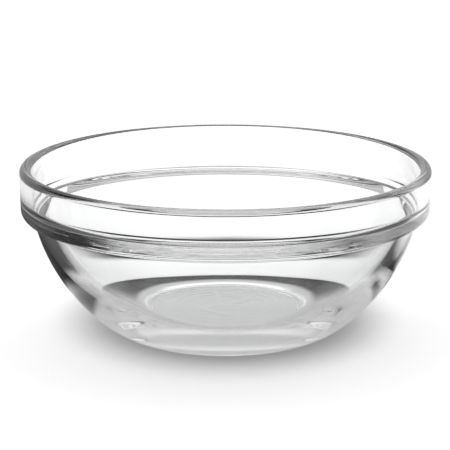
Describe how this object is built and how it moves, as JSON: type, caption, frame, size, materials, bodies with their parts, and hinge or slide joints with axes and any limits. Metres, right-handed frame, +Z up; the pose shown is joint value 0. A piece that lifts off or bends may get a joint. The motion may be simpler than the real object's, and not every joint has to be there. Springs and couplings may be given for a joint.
{
  "type": "prep bowl",
  "caption": "Clear pressed glass prep bowl with an upright collar under a rounded rim, an inner ledge for stacking, a curved wall and a flat foot.",
  "frame": {"origin": "on the bowl's axis, at the plane that the foot rests on", "axes": "+Z up along the bowl's axis; the bowl is round, so +X and +Y are any two square directions"},
  "size_m": [0.12, 0.12, 0.05],
  "materials": {
    "clear_glass": "clear, colourless, fire polished, with the faint waves of pressed glass"
  },
  "bodies": {
    "root": {"bowl": "clear_glass"}
  },
  "joints": []
}
